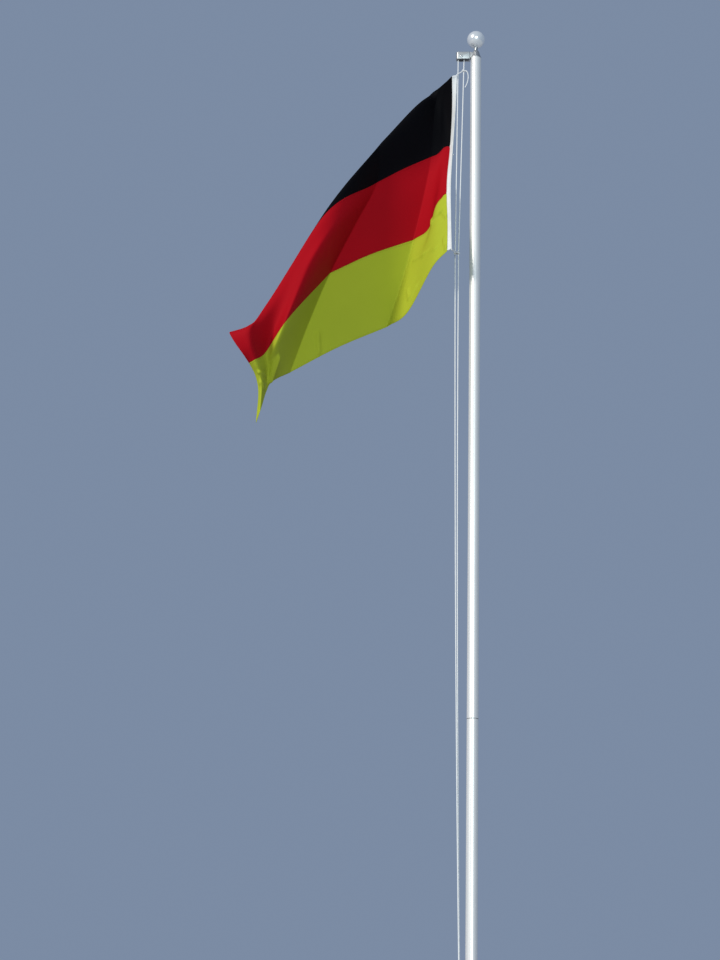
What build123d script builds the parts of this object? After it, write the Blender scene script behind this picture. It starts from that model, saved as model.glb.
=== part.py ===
"""Flagpole with a hoisted three-stripe flag, in millimetres.

The origin is on the pole's axis at ground level, +Z is up, and the flag and the
pulley arm point towards -X. The flag and its ties slide down along the halyard.
"""

import math
import os

from build123d import *

# General fits
fit_clearance = 0.1
cloth_gap = 0.9
overrun = 5.0

# Pole tube, in two sections
tube_diameter = 60.0
tube_wall = 2.5
pole_height = 7000.0
joint_height = 3250.0
collar_height = 3.0
collar_inset = 0.5
spigot_reach = 220.0
spigot_wall = 3.0

# Foot of the pole and the rim of its ground sleeve
foot_flange_height = 4.0
foot_plug_reach = 60.0
foot_plug_lead = 3.0
sleeve_rim_diameter = 130.0
sleeve_rim_height = 22.0
sleeve_rim_edge = 5.0
sleeve_rim_clearance = 0.5

# Cap, neck and ball
cap_plug_reach = 60.0
cap_shoulder_height = 6.0
cap_cone_height = 38.0
cap_cone_top_diameter = 34.0
neck_diameter = 20.0
neck_height = 27.0
stub_diameter = 14.0
stub_reach = 16.0
ball_diameter = 100.0
ball_wall = 3.0

# Pulley arm, its sheave and pin
arm_root = 34.0
arm_length = 77.0
arm_width = 38.0
arm_height = 44.0
arm_drop = 8.0
arm_nose_radius = 13.0
arm_roof = 4.0
arm_nose_wall = 5.0
arm_root_wall = 10.0
boss_width = 30.0
sheave_offset = 82.5
sheave_rise = 8.0
sheave_outer_diameter = 41.0
sheave_width = 16.0
sheave_side_clearance = 1.5
groove_flare = 6.5
pin_diameter = 8.0
pin_clearance = 0.05
pin_head_diameter = 13.0
pin_head_height = 3.0

# Halyard
rope_diameter = 6.0
rope_pitch_diameter = 33.0
rope_clearance = 0.3
upper_run = 53.0
left_tie_offset = 107.0
right_tie_offset = 89.0
bottom_tie_height = 5800.0
left_bow_offset = 83.5
right_bow_offset = 76.5
bow_height = 3350.0
cleat_rope_offset = 40.0
cleat_rope_spread = 8.0

# Cleat
cleat_height = 1100.0
cleat_length = 170.0
cleat_bar_depth = 14.0
cleat_bar_width = 16.0
cleat_stand = 17.0
cleat_foot_height = 52.0
cleat_foot_width = 18.0
cleat_plate_height = 84.0
cleat_plate_width = 30.0
cleat_plate_depth = 5.0
turns_depth = 9.0

# Flag
flag_fly = 2000.0
flag_hoist = 1200.0
cloth_thickness = 1.0
heading_width = 30.0
hoist_offset = 104.0
hoist_front = 9.0
hoist_top = 6893.0

# Each row runs from hoist to fly as (along, forward, down) shares of the fly
# length, measured from the top of the hoist: top edge first, bottom edge last.
row_shares = (0.0, 1 / 6, 1 / 3, 1 / 2, 2 / 3, 5 / 6, 1.0)
column_shares = (0.0, 0.015, 0.07, 0.2, 0.35, 0.5, 0.75, 1.0)
cloth_shares = (
    ((0.0, 0.0, 0.0), (0.0145, 0.0, 0.0025), (0.069, -0.015, 0.051), (0.143, -0.035, 0.201),
     (0.218, -0.015, 0.391), (0.333, 0.0, 0.661), (0.388, 0.065, 0.896), (0.473, 0.1, 1.056)),
    ((0.0035, -0.0325, 0.1005), (0.0135, -0.0225, 0.1015), (0.073, -0.04, 0.126), (0.153, 0.01, 0.156),
     (0.228, 0.01, 0.296), (0.343, 0.03, 0.56), (0.408, 0.11, 0.801), (0.508, 0.135, 0.996)),
    ((0.0115, -0.0535, 0.1995), (0.0175, -0.0395, 0.2005), (0.073, -0.05, 0.226), (0.172, 0.007, 0.301),
     (0.258, 0.075, 0.401), (0.353, 0.1, 0.491), (0.418, 0.13, 0.701), (0.548, 0.17, 0.946)),
    ((0.0145, -0.0185, 0.2905), (0.02, -0.0045, 0.2915), (0.068, 0.005, 0.331), (0.143, 0.0, 0.396),
     (0.233, 0.065, 0.481), (0.328, 0.15, 0.561), (0.431, 0.19, 0.676), (0.573, 0.22, 0.866)),
    ((0.015, 0.0315, 0.382), (0.0205, 0.0455, 0.383), (0.056, 0.057, 0.431), (0.116, -0.01, 0.496),
     (0.208, 0.05, 0.561), (0.298, 0.122, 0.636), (0.416, 0.225, 0.796), (0.525, 0.23, 0.95)),
    ((0.013, 0.0615, 0.477), (0.0185, 0.0755, 0.478), (0.055, 0.075, 0.523), (0.112, 0.03, 0.599),
     (0.197, 0.034, 0.664), (0.285, 0.102, 0.734), (0.411, 0.207, 0.872), (0.513, 0.232, 1.032)),
    ((0.01, 0.0865, 0.5705), (0.0155, 0.1005, 0.5715), (0.054, 0.092, 0.614), (0.108, 0.065, 0.701),
     (0.185, 0.017, 0.766), (0.272, 0.082, 0.831), (0.405, 0.19, 0.948), (0.499, 0.235, 1.114)),
)
stripe_count = 3
stripe_samples = 4
fly_samples = 11

# Ties between the flag and the halyard
tie_diameter = 5.0
knot_diameter = 17.0
knot_drop = 83.0
top_tie_lead = 6.0
bottom_knot_height = 16.0
bottom_knot_depth = 16.0
bottom_tie_stand = 2.0
tail_route = (
    (-57.8, -3.2, 6925.5),
    (-49.0, -5.0, 6918.0),
    (-43.0, -6.0, 6900.0),
    (-42.0, -7.0, 6875.0),
    (-46.0, -8.0, 6850.0),
    (-53.0, -8.0, 6830.0),
    (-60.0, -8.0, 6815.0),
)

# Derived places
tube_radius = tube_diameter / 2
tube_bore_radius = tube_radius - tube_wall
plug_radius = tube_bore_radius - fit_clearance
rope_radius = rope_diameter / 2
pitch_radius = rope_pitch_diameter / 2
tie_radius = tie_diameter / 2
lower_tube_top = joint_height - collar_height / 2
upper_tube_foot = joint_height + collar_height / 2
cone_foot = pole_height + cap_shoulder_height
cone_top = cone_foot + cap_cone_height
ball_seat = cone_top + neck_height
ball_radius = ball_diameter / 2
seat_radius = neck_diameter / 2
ball_centre = ball_seat + math.sqrt(ball_radius**2 - seat_radius**2)
arm_bottom = pole_height - arm_drop
arm_top = arm_bottom + arm_height
sheave_height = pole_height + sheave_rise
slot_width = sheave_width + 2 * sheave_side_clearance
sheave_axis = Axis((-sheave_offset, 0, sheave_height), (0, 1, 0))


def rope_run(start, end, radius):
    """Make one straight length of rope between two points."""
    run = Vector(*end) - Vector(*start)
    with BuildPart() as rope:
        with BuildSketch(Plane(start, z_dir=run)):
            Circle(radius)
        extrude(amount=run.length)
    return rope


def between(start, end, share):
    """Give the point at a share of the way from start to end."""
    return tuple(a + (b - a) * share for a, b in zip(start, end))


# Pole tube sections
with BuildPart() as lower_pole_tube:
    with BuildSketch(Plane.XY.offset(foot_flange_height)):
        Circle(tube_radius)
        Circle(tube_bore_radius, mode=Mode.SUBTRACT)
    extrude(amount=lower_tube_top - foot_flange_height)

with BuildPart() as upper_pole_tube:
    with BuildSketch(Plane.XY.offset(upper_tube_foot)):
        Circle(tube_radius)
        Circle(tube_bore_radius, mode=Mode.SUBTRACT)
    extrude(amount=pole_height - upper_tube_foot)

# Spigot that joins the sections, with the thin collar that shows between them
with BuildPart() as joint_spigot:
    with BuildSketch(Plane.XY.offset(joint_height)):
        Circle(plug_radius)
        Circle(plug_radius - spigot_wall, mode=Mode.SUBTRACT)
    extrude(amount=spigot_reach, both=True)
    with BuildSketch(Plane.XY.offset(lower_tube_top)):
        Circle(tube_radius - collar_inset)
        Circle(plug_radius - spigot_wall, mode=Mode.SUBTRACT)
    extrude(amount=collar_height)

# Plug that closes the foot of the tube
with BuildPart() as foot_plug:
    with BuildSketch():
        Circle(tube_radius)
    extrude(amount=foot_flange_height)
    with BuildSketch(Plane.XY.offset(foot_flange_height)):
        Circle(plug_radius)
    extrude(amount=foot_plug_reach)
    chamfer(foot_plug.edges().sort_by(Axis.Z)[-1], foot_plug_lead)

# Rim of the ground sleeve round the foot of the pole
with BuildPart() as ground_collar:
    with BuildSketch(Plane.XZ):
        with BuildLine():
            Polyline(
                (tube_radius + sleeve_rim_clearance, 0),
                (sleeve_rim_diameter / 2, 0),
                (sleeve_rim_diameter / 2, sleeve_rim_edge),
                (tube_radius + sleeve_rim_edge, sleeve_rim_height),
                (tube_radius + sleeve_rim_clearance, sleeve_rim_height),
                close=True,
            )
        make_face()
    revolve(axis=Axis.Z)

# Cap: a plug in the tube, a shoulder on its end, a cone, the neck and the ball's stub
with BuildPart() as top_cap:
    with BuildSketch(Plane.XZ):
        with BuildLine():
            Polyline(
                (0, pole_height - cap_plug_reach),
                (plug_radius, pole_height - cap_plug_reach),
                (plug_radius, pole_height),
                (tube_radius, pole_height),
                (tube_radius, cone_foot),
                (cap_cone_top_diameter / 2, cone_top),
                (seat_radius, cone_top),
                (seat_radius, ball_seat),
                (stub_diameter / 2, ball_seat),
                (stub_diameter / 2, ball_seat + stub_reach),
                (0, ball_seat + stub_reach),
                close=True,
            )
        make_face()
    revolve(axis=Axis.Z)
    with BuildSketch(Plane.XY.offset(pole_height)):
        with Locations((-arm_root / 2, 0)):
            Rectangle(arm_root, boss_width)
    extrude(amount=arm_top - pole_height)

# Hollow ball that sits on the neck
with BuildPart() as finial_ball:
    with Locations((0, 0, ball_centre)):
        Sphere(ball_radius)
        Sphere(ball_radius - ball_wall, mode=Mode.SUBTRACT)
    with BuildSketch(Plane.XY.offset(ball_seat)):
        Circle(ball_radius)
    extrude(amount=-ball_radius, mode=Mode.SUBTRACT)
    with BuildSketch(Plane.XY.offset(ball_seat)):
        Circle(stub_diameter / 2 + fit_clearance)
    extrude(amount=stub_reach, mode=Mode.SUBTRACT)

# Pulley arm: a housing open below, with a rounded nose
with BuildPart() as pulley_arm:
    with BuildSketch(Plane.XY.offset(arm_bottom)) as arm_plan:
        with Locations((-arm_root - arm_length / 2, 0)):
            Rectangle(arm_length, arm_width)
        fillet(arm_plan.vertices().group_by(Axis.X)[0], arm_nose_radius)
    extrude(amount=arm_height)
    slot_start = arm_root + arm_root_wall
    slot_end = arm_root + arm_length - arm_nose_wall
    with BuildSketch(Plane.XY.offset(arm_bottom)):
        with Locations((-(slot_start + slot_end) / 2, 0)):
            Rectangle(slot_end - slot_start, slot_width)
    extrude(amount=arm_height - arm_roof, mode=Mode.SUBTRACT)
    with BuildSketch(Plane((-sheave_offset, 0, sheave_height), z_dir=(0, 1, 0))):
        Circle(pin_diameter / 2 + pin_clearance)
    extrude(amount=arm_width, both=True, mode=Mode.SUBTRACT)

# Pin of the sheave, with a rivet head on each cheek
with BuildPart() as sheave_pin:
    pin_plane = Plane((-sheave_offset, 0, sheave_height), z_dir=(0, 1, 0))
    with BuildSketch(pin_plane):
        Circle(pin_diameter / 2)
    extrude(amount=arm_width / 2, both=True)
    for side in (1, -1):
        with BuildSketch(pin_plane.offset(side * arm_width / 2)):
            Circle(pin_head_diameter / 2)
        extrude(amount=side * pin_head_height)

# Grooved sheave
with BuildPart() as sheave:
    with BuildSketch(Plane.XY.offset(sheave_height)):
        with Locations((-sheave_offset, 0)):
            with Locations((sheave_outer_diameter / 4, 0)):
                Rectangle(sheave_outer_diameter / 2, sheave_width)
            with Locations((pitch_radius, 0)):
                Circle(rope_radius + rope_clearance, mode=Mode.SUBTRACT)
            with BuildLine(mode=Mode.PRIVATE) as flare:
                Polyline(
                    (pitch_radius, rope_radius + rope_clearance),
                    (sheave_outer_diameter / 2 + overrun, groove_flare),
                    (sheave_outer_diameter / 2 + overrun, -groove_flare),
                    (pitch_radius, -rope_radius - rope_clearance),
                    close=True,
                )
            add(make_face(flare.edges(), mode=Mode.PRIVATE), mode=Mode.SUBTRACT)
    revolve(axis=sheave_axis)
    with BuildSketch(Plane((-sheave_offset, 0, sheave_height), z_dir=(0, 1, 0))):
        Circle(pin_diameter / 2 + pin_clearance)
    extrude(amount=sheave_width, both=True, mode=Mode.SUBTRACT)

# Halyard where it lies in the groove of the sheave
with BuildPart() as halyard_over_sheave:
    with BuildSketch(Plane.XY.offset(sheave_height)):
        with Locations((-sheave_offset - pitch_radius, 0)):
            Circle(rope_radius)
    revolve(axis=sheave_axis, revolution_arc=180)

# Two strands from the sheave down past the flag
strand_top_height = sheave_height - rope_clearance
left_sheave_point = (-sheave_offset - pitch_radius, 0, strand_top_height)
right_sheave_point = (-sheave_offset + pitch_radius, 0, strand_top_height)
left_tie_point = (-left_tie_offset, 0, bottom_tie_height)
right_tie_point = (-right_tie_offset, 0, bottom_tie_height)
upper_share = upper_run / (strand_top_height - bottom_tie_height)
left_split_point = between(left_sheave_point, left_tie_point, upper_share)
right_split_point = between(right_sheave_point, right_tie_point, upper_share)
halyard_upper_left = rope_run(left_sheave_point, left_split_point, rope_radius)
halyard_upper_right = rope_run(right_sheave_point, right_split_point, rope_radius)
halyard_flag_left = rope_run(left_split_point, left_tie_point, rope_radius)
halyard_flag_right = rope_run(right_split_point, right_tie_point, rope_radius)

# Two strands from the bottom tie to the cleat, bowed a little by the wind
turns_top = cleat_height + cleat_foot_height / 2 + rope_clearance + rope_diameter
lower_strands = []
for tie_offset, bow_offset, side in (
    (left_tie_offset, left_bow_offset, -1),
    (right_tie_offset, right_bow_offset, 1),
):
    strand_top = (-tie_offset, 0, bottom_tie_height - rope_clearance)
    strand_bow = (-bow_offset, side * cleat_rope_spread / 4, bow_height)
    strand_foot = (-cleat_rope_offset, side * cleat_rope_spread / 2, turns_top + rope_clearance)
    with BuildPart() as strand:
        with BuildLine() as strand_line:
            ThreePointArc(strand_top, strand_bow, strand_foot)
        with BuildSketch(Plane(strand_top, z_dir=strand_line.line % 0)):
            Circle(rope_radius)
        sweep(path=strand_line.line)
    lower_strands.append(strand)
halyard_lower_left, halyard_lower_right = lower_strands

# Cleat: a saddle on the tube, a foot and a bar with two horns
cleat_bar_middle = tube_radius + cleat_stand + cleat_bar_depth / 2
with BuildPart() as cleat:
    with BuildSketch(Plane.XZ) as cleat_side:
        with Locations((-cleat_bar_middle, cleat_height)):
            SlotOverall(cleat_length, cleat_bar_depth, rotation=90)
    extrude(amount=cleat_bar_width / 2, both=True)
    with BuildSketch(Plane.XZ):
        with Locations((-cleat_bar_middle / 2, cleat_height)):
            Rectangle(cleat_bar_middle, cleat_foot_height)
    extrude(amount=cleat_foot_width / 2, both=True)
    with BuildSketch(Plane.XZ):
        with Locations((-(tube_radius + cleat_plate_depth) / 2, cleat_height)):
            Rectangle(tube_radius + cleat_plate_depth, cleat_plate_height)
    extrude(amount=cleat_plate_width / 2, both=True)
    with BuildSketch(Plane.XY.offset(cleat_height)):
        Circle(tube_radius + fit_clearance)
    extrude(amount=cleat_length, both=True, mode=Mode.SUBTRACT)

# Turns of the halyard round the foot of the cleat
with BuildPart() as halyard_cleat_turns:
    turns_inner_width = cleat_foot_width + 2 * rope_clearance
    turns_inner_height = cleat_foot_height + 2 * rope_clearance
    turns_start = tube_radius + cleat_plate_depth + rope_clearance
    with BuildSketch(Plane((-turns_start, 0, cleat_height), x_dir=(0, 1, 0), z_dir=(-1, 0, 0))):
        RectangleRounded(
            turns_inner_width + 2 * rope_diameter, turns_inner_height + 2 * rope_diameter, rope_diameter
        )
        Rectangle(turns_inner_width, turns_inner_height, mode=Mode.SUBTRACT)
    extrude(amount=turns_depth)


def curve_through(knots, values, place):
    """Follow a smooth curve through values at knots and give its value at place."""
    last = len(knots) - 1
    left = max(index for index in range(last) if knots[index] <= place or index == 0)
    span = knots[left + 1] - knots[left]
    slopes = []
    for index in (left, left + 1):
        before = max(index - 1, 0)
        after = min(index + 1, last)
        slopes.append((values[after] - values[before]) / (knots[after] - knots[before]) * span)
    t = (place - knots[left]) / span
    rest = 1 - t
    ends = values[left] * (1 + 2 * t) * rest**2 + values[left + 1] * (1 + 2 * rest) * t**2
    return ends + slopes[0] * t * rest**2 - slopes[1] * rest * t**2


def cloth_point(down_share, along_share):
    """Place the point of the flag's surface at a share of its hoist and of its fly."""
    shares = []
    for axis in range(3):
        rows = [[point[axis] for point in row] for row in cloth_shares]
        column = [curve_through(column_shares, row, along_share) for row in rows]
        shares.append(curve_through(row_shares, column, down_share))
    return (
        -hoist_offset - shares[0] * flag_fly,
        -hoist_front - shares[1] * flag_fly,
        hoist_top - shares[2] * flag_fly,
    )


def cloth_sheet(down_shares, along_shares):
    """Make a thin sheet over one region of the flag's surface."""
    points = [[cloth_point(down, along) for along in along_shares] for down in down_shares]
    surface = Face.make_surface_from_array_of_points(points)
    with BuildPart() as sheet:
        thicken(surface, amount=cloth_thickness / 2, both=True)
    return sheet


def even_shares(first, last, count):
    """Space shares evenly from first to last."""
    return [first + (last - first) * step / (count - 1) for step in range(count)]


# Three stripes and the heading along the hoist
down_gap_share = cloth_gap / flag_hoist / 2
along_gap_share = cloth_gap / flag_fly / 2
heading_share = heading_width / flag_fly
stripes = []
for stripe_index in range(stripe_count):
    stripe_top_share = stripe_index / stripe_count + down_gap_share
    stripe_foot_share = (stripe_index + 1) / stripe_count - down_gap_share
    down_shares = even_shares(stripe_top_share, stripe_foot_share, stripe_samples)
    along_shares = even_shares(heading_share + along_gap_share, 1, fly_samples)
    stripes.append(cloth_sheet(down_shares, along_shares))
flag_black_stripe, flag_red_stripe, flag_gold_stripe = stripes
heading_down_shares = even_shares(0, 1, stripe_count * stripe_samples)
flag_heading = cloth_sheet(heading_down_shares, (0, heading_share / 2, heading_share - along_gap_share))

# Top tie, from above the heading to the knot on the right strand
knot_point = between(right_sheave_point, right_tie_point, knot_drop / (strand_top_height - bottom_tie_height))
knot_radius = knot_diameter / 2
heading_top = cloth_point(0, 0)
top_tie_start = (heading_top[0] - top_tie_lead, heading_top[1], heading_top[2] + tie_radius + rope_clearance)
from_knot = (Vector(*top_tie_start) - Vector(*knot_point)).normalized()
top_tie_end = Vector(*knot_point) + from_knot * (knot_radius + rope_clearance)
top_tie = rope_run(top_tie_start, top_tie_end, tie_radius)

with BuildPart() as top_knot:
    with Locations(knot_point):
        Sphere(knot_radius)
        Cylinder(rope_radius + rope_clearance, knot_diameter, mode=Mode.SUBTRACT)

# Loose tail of the top knot
tail_corners = [Vector(*point) for point in tail_route]
tail_radii = []
for before, corner, after in zip(tail_corners, tail_corners[1:], tail_corners[2:]):
    turn = (corner - before).get_angle(after - corner)
    shorter_run = min((corner - before).length, (after - corner).length)
    tail_radii.append(0.45 * shorter_run / math.tan(math.radians(turn / 2)))
print("tail radii", [round(radius, 1) for radius in tail_radii])
with BuildPart() as top_knot_tail:
    with BuildLine() as tail_line:
        FilletPolyline(*tail_route, radius=tail_radii)
    with BuildSketch(Plane(tail_route[0], z_dir=tail_line.line % 0)):
        Circle(tie_radius)
    sweep(path=tail_line.line)

# Bottom tie: a doubled cord from the heading to a hitch round both strands
with BuildPart() as bottom_knot:
    with BuildSketch(Plane.XY.offset(bottom_tie_height)):
        with Locations((-(left_tie_offset + right_tie_offset) / 2, 0)):
            SlotCenterToCenter(left_tie_offset - right_tie_offset, bottom_knot_depth)
        with Locations((-left_tie_offset, 0), (-right_tie_offset, 0)):
            Circle(rope_radius + rope_clearance, mode=Mode.SUBTRACT)
    extrude(amount=bottom_knot_height)

heading_foot = Vector(*cloth_point(1, 0)) - Vector(0, 0, tie_diameter + rope_clearance)
hitch_face = (
    -(left_tie_offset + right_tie_offset) / 2,
    -bottom_knot_depth / 2 - bottom_tie_stand,
    bottom_tie_height + bottom_knot_height / 2,
)
with BuildPart() as bottom_tie:
    tie_run = Vector(*hitch_face) - heading_foot
    tie_plane = Plane(heading_foot, x_dir=(0, 0, 1), z_dir=tie_run)
    with BuildSketch(tie_plane):
        SlotCenterToCenter(tie_diameter, tie_diameter)
    extrude(amount=tie_run.length)

pieces = {
    "lower_pole_tube": lower_pole_tube,
    "upper_pole_tube": upper_pole_tube,
    "joint_spigot": joint_spigot,
    "foot_plug": foot_plug,
    "ground_collar": ground_collar,
    "top_cap": top_cap,
    "finial_ball": finial_ball,
    "pulley_arm": pulley_arm,
    "sheave_pin": sheave_pin,
    "sheave": sheave,
    "cleat": cleat,
    "halyard_over_sheave": halyard_over_sheave,
    "halyard_upper_left": halyard_upper_left,
    "halyard_upper_right": halyard_upper_right,
    "halyard_flag_left": halyard_flag_left,
    "halyard_flag_right": halyard_flag_right,
    "halyard_lower_left": halyard_lower_left,
    "halyard_lower_right": halyard_lower_right,
    "halyard_cleat_turns": halyard_cleat_turns,
    "flag_black_stripe": flag_black_stripe,
    "flag_red_stripe": flag_red_stripe,
    "flag_gold_stripe": flag_gold_stripe,
    "flag_heading": flag_heading,
    "top_tie": top_tie,
    "top_knot": top_knot,
    "top_knot_tail": top_knot_tail,
    "bottom_tie": bottom_tie,
    "bottom_knot": bottom_knot,
}
os.makedirs("parts", exist_ok=True)
for name, piece in pieces.items():
    piece.part.label = name
    export_step(piece.part, f"parts/{name}.step")
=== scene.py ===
import math

import bpy
from bpy.props import FloatProperty, FloatVectorProperty, IntProperty, PointerProperty
from mathutils import Matrix, Vector


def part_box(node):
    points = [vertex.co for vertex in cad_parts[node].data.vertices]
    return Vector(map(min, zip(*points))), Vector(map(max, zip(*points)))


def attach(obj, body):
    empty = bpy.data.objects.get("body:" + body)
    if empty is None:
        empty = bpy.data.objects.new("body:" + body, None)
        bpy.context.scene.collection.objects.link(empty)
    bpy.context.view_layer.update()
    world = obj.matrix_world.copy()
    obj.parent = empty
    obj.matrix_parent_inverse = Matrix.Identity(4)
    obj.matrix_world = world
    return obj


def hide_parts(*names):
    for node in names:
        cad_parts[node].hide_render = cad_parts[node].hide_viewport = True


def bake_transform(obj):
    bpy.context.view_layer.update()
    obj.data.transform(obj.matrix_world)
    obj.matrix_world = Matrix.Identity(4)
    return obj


bl_info = {
    "name": "Flagpole",
    "version": (1, 0, 0),
    "blender": (4, 5, 0),
    "location": "View3D > Sidebar > Flagpole",
    "description": "Dresses a flagpole with its flag, halyard, fittings and finishes",
    "category": "Object",
}

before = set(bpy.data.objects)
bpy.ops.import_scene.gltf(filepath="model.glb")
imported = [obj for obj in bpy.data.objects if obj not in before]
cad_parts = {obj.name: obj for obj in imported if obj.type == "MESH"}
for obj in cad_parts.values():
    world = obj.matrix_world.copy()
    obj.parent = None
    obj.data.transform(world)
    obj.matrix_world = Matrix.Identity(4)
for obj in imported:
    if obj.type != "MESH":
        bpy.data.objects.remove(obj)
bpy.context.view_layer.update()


# Places read from the frame
def middle(node):
    """Centre of a node's box at rest."""
    low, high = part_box(node)
    return (low + high) / 2


TUBE_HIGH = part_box("upper_pole_tube")[1]
TUBE_RADIUS = TUBE_HIGH.x
ARM_LOW, ARM_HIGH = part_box("pulley_arm")
SHEAVE_CENTRE = middle("sheave")
CLEAT_LOW, CLEAT_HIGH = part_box("cleat")
ROPE_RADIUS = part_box("halyard_over_sheave")[1].y
KNOT = middle("top_knot")

# The sheave's slot in the arm, the rope's path round the sheave and the depth of the cleat's plate
SHEAVE_SLOT = 0.019
PITCH_RADIUS = 0.0165
PLATE_DEPTH = 0.005

# How far a smooth curve falls inside the points that steer it, in a half circle and in a round turn
ARC_SHRINK = 0.993
TURN_SHRINK = 0.955

# Where each strand of the halyard leaves the sheave, is tied to the flag, bows and meets the cleat
STRAND_TOPS = {"left": Vector((-0.099, 0, 7.0077)), "right": Vector((-0.066, 0, 7.0077))}
STRAND_TIES = {"left": Vector((-0.107, 0, 5.8)), "right": Vector((-0.089, 0, 5.8))}
STRAND_BOWS = {"left": Vector((-0.0835, -0.002, 3.35)), "right": Vector((-0.0765, 0.002, 3.35))}
STRAND_FEET = {"left": Vector((-0.04, -0.004, 1.1326)), "right": Vector((-0.04, 0.004, 1.1326))}
SPLIT_SHARE = 0.0439

# The hitch round the cleat: figures of eight from the left strand, a round turn from the right one
CLEAT_HITCH = (
    ((-0.04, -0.004, 1.1328), (-0.0405, -0.009, 1.1265), (-0.042, -0.0122, 1.117),
     (-0.048, -0.0135, 1.11), (-0.058, -0.0122, 1.106), (-0.0645, -0.006, 1.102),
     (-0.0648, 0.0, 1.098), (-0.064, 0.006, 1.094), (-0.058, 0.0122, 1.088),
     (-0.048, 0.0135, 1.081), (-0.0425, 0.0115, 1.071), (-0.0425, 0.006, 1.0635),
     (-0.0425, -0.006, 1.0635), (-0.0425, -0.0115, 1.071), (-0.048, -0.0135, 1.083),
     (-0.058, -0.0125, 1.091), (-0.069, -0.006, 1.096), (-0.0705, 0.0, 1.1),
     (-0.069, 0.006, 1.104), (-0.058, 0.0125, 1.11), (-0.048, 0.0138, 1.118),
     (-0.045, 0.0125, 1.13), (-0.0455, 0.008, 1.1405), (-0.0455, 0.0, 1.1425),
     (-0.0455, -0.008, 1.1405), (-0.046, -0.0128, 1.131), (-0.048, -0.0145, 1.12),
     (-0.049, -0.017, 1.104)),
    ((-0.04, 0.004, 1.1328), (-0.0395, 0.0095, 1.126), (-0.0395, 0.0125, 1.115),
     (-0.0395, 0.0126, 1.1), (-0.0395, 0.012, 1.083), (-0.0395, 0.008, 1.0715),
     (-0.0395, 0.0, 1.0695), (-0.0395, -0.008, 1.0715), (-0.0395, -0.012, 1.082),
     (-0.0395, -0.0124, 1.098)),
)

# The photograph's view, and the size of the photograph in pixels
PHOTO_WIDTH, PHOTO_HEIGHT = 720, 960
EYE = Vector((0, -9.4, 1.6))
PITCH, YAW, ROLL = math.radians(17.17), math.radians(3.64), math.radians(1.36)
LENS, SENSOR = 70.2, 36.0
AHEAD = Vector((-math.sin(YAW) * math.cos(PITCH), math.cos(YAW) * math.cos(PITCH), math.sin(PITCH)))
LEVEL = Vector((math.cos(YAW), math.sin(YAW), 0))
ACROSS = Matrix.Rotation(-ROLL, 3, AHEAD) @ LEVEL
UPRIGHT = ACROSS.cross(AHEAD)

# The flag's folds, from the hoist edge to the fly edge. Each fold line runs from
# the top edge of the cloth down to its bottom edge, and each of its points is
# (reach, fall, place): reach and fall say where the point lies on the flat cloth,
# as shares of the fly and of the hoist. Second points follow the ridge. A place is
# hung (along, forward and down from the head of the hoist, as shares of the fly) or
# seen (the pixel in the photograph, and the depth y). Behind the flag it is a point.
FLY = 2.0
HOIST_HEAD = Vector((-0.104, -0.009, 6.893))


def hung(along, forward, down):
    """Place that hangs from the head of the hoist, by shares of the fly."""
    return HOIST_HEAD - Vector((along, forward, down)) * FLY


def seen(pixel_across, pixel_down, depth):
    """Place at a depth that shows at a pixel of the photograph."""
    ray = AHEAD * (PHOTO_HEIGHT * LENS / SENSOR)
    ray += ACROSS * (pixel_across - PHOTO_WIDTH / 2) - UPRIGHT * (pixel_down - PHOTO_HEIGHT / 2)
    return EYE + ray * ((depth - EYE.y) / ray.y)


# Share of a hem's thickness that single cloth has
SINGLE_CLOTH = 0.45

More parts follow.
